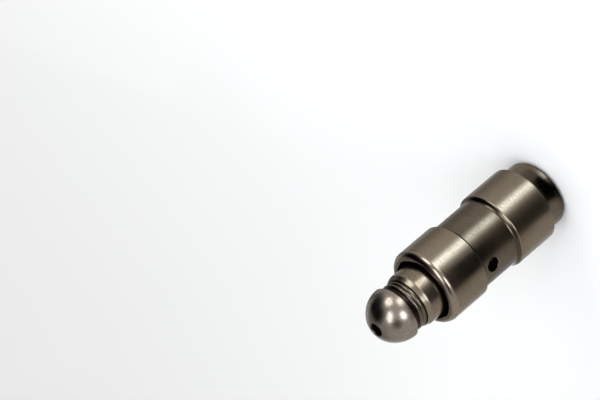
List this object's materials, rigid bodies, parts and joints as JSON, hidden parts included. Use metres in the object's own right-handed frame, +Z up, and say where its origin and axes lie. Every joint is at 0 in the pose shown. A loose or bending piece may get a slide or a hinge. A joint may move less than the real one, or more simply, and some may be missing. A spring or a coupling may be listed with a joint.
{
  "type": "hydraulic tappet",
  "caption": "Hydraulic tappet: a ball-headed hollow plunger slides in a ground steel cup with an oil groove, over a return spring and a ball check valve.",
  "frame": {"origin": "centre of the flat underside of the foot, on the tappet's axis", "axes": "+Z up the axis from the foot to the ball head; the radial oil hole in the housing faces -Y"},
  "size_m": [0.012, 0.012, 0.0346],
  "materials": {
    "housing_steel": "ground",
    "plunger_steel": "fine ground",
    "bearing_steel": "polished",
    "pressed_steel": "pressed",
    "spring_wire": "drawn"
  },
  "bodies": {
    "body": {"housing": "housing_steel", "retaining_ring": "spring_wire", "return_spring": "spring_wire"},
    "plunger": {"lower_plunger": "plunger_steel", "check_valve_cage": "pressed_steel", "check_ball_spring": "spring_wire"},
    "ball_head": {"ball_plunger": "plunger_steel"},
    "valve_ball": {"check_ball": "bearing_steel"}
  },
  "joints": [
    {"name": "plunger_slide", "type": "slide", "parent": "body", "child": "plunger", "axis": [0, 0, 1], "range_m": [-0.0032, 0], "stiffness_N_per_m": 2000, "springref_m": 0.0004, "deforming": ["return_spring"]},
    {"name": "ball_plunger_turn", "type": "hinge", "parent": "plunger", "child": "ball_head", "pos_m": [0, 0, 0.02], "axis": [0, 0, 1], "continuous": true},
    {"name": "check_ball_lift", "type": "slide", "parent": "plunger", "child": "valve_ball", "axis": [0, 0, 1], "range_m": [-0.00025, 0], "stiffness_N_per_m": 80, "springref_m": 0.0001, "deforming": ["check_ball_spring"]}
  ]
}
